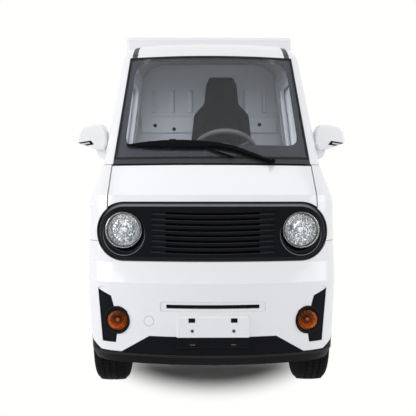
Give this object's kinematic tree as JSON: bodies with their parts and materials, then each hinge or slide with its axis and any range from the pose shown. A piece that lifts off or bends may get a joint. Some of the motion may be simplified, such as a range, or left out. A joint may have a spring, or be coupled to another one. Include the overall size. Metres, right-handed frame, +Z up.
{
  "type": "electric mini truck",
  "caption": "Small electric forward-control delivery truck with round headlamps, a closed box body, rear barn doors, hinged cab doors, service hood and steered front wheels.",
  "frame": {"origin": "on the ground under the middle of the truck's overall box", "axes": "+Z up, -Y out of the front, +X to the driver's left"},
  "size_m": [1.4952, 3.5, 2.1549],
  "materials": {
    "white_paint": "gloss white paint",
    "box_paint": "gloss white box paint",
    "black_plastic": "grained black plastic",
    "grille_plastic": "satin black plastic",
    "mirror_shell": "white plastic shell",
    "glass": "clear safety glass",
    "lamp_glass": "clear lamp lens",
    "reflector": "bright reflector",
    "amber_lens": "amber lens",
    "red_lens": "red lens",
    "frame_paint": "black chassis paint",
    "axle_iron": "black iron",
    "spring_steel": "dark spring steel",
    "motor_aluminium": "cast aluminium",
    "battery_case": "dark painted steel case",
    "rim_steel": "silver painted steel",
    "tyre": "black rubber",
    "cabin_plastic": "dark grained plastic",
    "cabin_wall": "light grey paint",
    "seat_cloth": "dark woven cloth",
    "box_floor": "coated plywood floor"
  },
  "bodies": {
    "truck": {"chassis_frame": "frame_paint", "battery_pack": "battery_case", "front_axle": "axle_iron", "rear_axle": "axle_iron", "drive_motor": "motor_aluminium", "leaf_springs": "spring_steel", "cab_floor": "cabin_plastic", "cab_side_frames": "white_paint", "windscreen": "glass", "cowl_strip": "black_plastic", "corner_panels": "white_paint", "front_bumper": "white_paint", "bumper_skirt": "black_plastic", "grille_panel": "grille_plastic", "headlamp_bowls": "reflector", "headlamp_lenses": "lamp_glass", "signal_bezels": "black_plastic", "signal_lenses": "amber_lens", "wiper": "black_plastic", "roof_panel": "white_paint", "back_panel": "cabin_wall", "dashboard": "cabin_plastic", "steering_column": "cabin_plastic", "seat_base": "cabin_plastic", "seat_cushion": "seat_cloth", "seat_back": "seat_cloth", "wheel_liners": "black_plastic", "box_floor": "box_floor", "box_front_wall": "box_paint", "box_side_walls": "box_paint", "box_roof": "box_paint", "rear_portal": "box_paint", "rear_bumper": "frame_paint", "tail_lamps": "red_lens", "rear_mudguards": "black_plastic"},
    "door_left": {"door_left": "white_paint", "door_glass_left": "glass", "mirror_left": "mirror_shell"},
    "door_right": {"door_right": "white_paint", "door_glass_right": "glass", "mirror_right": "mirror_shell"},
    "hood": {"hood": "white_paint"},
    "rear_door_left": {"rear_door_left": "box_paint"},
    "rear_door_right": {"rear_door_right": "box_paint"},
    "knuckle_left": {"knuckle_left": "axle_iron"},
    "knuckle_right": {"knuckle_right": "axle_iron"},
    "steering_wheel": {"steering_wheel": "cabin_plastic"},
    "wheel_front_left": {"tyre_front_left": "tyre", "rim_front_left": "rim_steel"},
    "wheel_front_right": {"tyre_front_right": "tyre", "rim_front_right": "rim_steel"},
    "wheel_rear_left": {"tyre_rear_left": "tyre", "rim_rear_left": "rim_steel"},
    "wheel_rear_right": {"tyre_rear_right": "tyre", "rim_rear_right": "rim_steel"}
  },
  "joints": [
    {"name": "door_left_swing", "type": "hinge", "parent": "truck", "child": "door_left", "pos_m": [0.648, -1.242, 0.85], "axis": [0, 0, -1], "range_deg": [0, 65]},
    {"name": "door_right_swing", "type": "hinge", "parent": "truck", "child": "door_right", "pos_m": [-0.648, -1.242, 0.85], "axis": [0, 0, 1], "range_deg": [0, 65]},
    {"name": "hood_lift", "type": "hinge", "parent": "truck", "child": "hood", "pos_m": [0, -1.496, 1.188], "axis": [-1, 0, 0], "range_deg": [0, 50]},
    {"name": "rear_door_left_swing", "type": "hinge", "parent": "truck", "child": "rear_door_left", "pos_m": [0.598, 1.712, 1.39], "axis": [0, 0, -1], "range_deg": [0, 270]},
    {"name": "rear_door_right_swing", "type": "hinge", "parent": "truck", "child": "rear_door_right", "pos_m": [-0.598, 1.712, 1.39], "axis": [0, 0, 1], "range_deg": [0, 270]},
    {"name": "steer_left", "type": "hinge", "parent": "truck", "child": "knuckle_left", "pos_m": [0.462, -1.17, 0.275], "axis": [0, 0, 1], "range_deg": [-35, 35]},
    {"name": "steer_right", "type": "hinge", "parent": "truck", "child": "knuckle_right", "pos_m": [-0.462, -1.17, 0.275], "axis": [0, 0, 1], "range_deg": [-35, 35]},
    {"name": "steering_wheel_turn", "type": "hinge", "parent": "truck", "child": "steering_wheel", "pos_m": [0.085, -0.92, 1.292], "axis": [0, 0.6428, 0.766], "range_deg": [-495, 495]},
    {"name": "wheel_front_left_spin", "type": "hinge", "parent": "knuckle_left", "child": "wheel_front_left", "pos_m": [0.542, -1.17, 0.275], "axis": [1, 0, 0], "continuous": true},
    {"name": "wheel_front_right_spin", "type": "hinge", "parent": "knuckle_right", "child": "wheel_front_right", "pos_m": [-0.542, -1.17, 0.275], "axis": [1, 0, 0], "continuous": true},
    {"name": "wheel_rear_left_spin", "type": "hinge", "parent": "truck", "child": "wheel_rear_left", "pos_m": [0.542, 1, 0.275], "axis": [1, 0, 0], "continuous": true},
    {"name": "wheel_rear_right_spin", "type": "hinge", "parent": "truck", "child": "wheel_rear_right", "pos_m": [-0.542, 1, 0.275], "axis": [1, 0, 0], "continuous": true}
  ],
  "couplings": [
    {"joint": "steer_right", "follows": "steer_left", "ratio": 1},
    {"joint": "steering_wheel_turn", "follows": "steer_left", "ratio": 14}
  ]
}
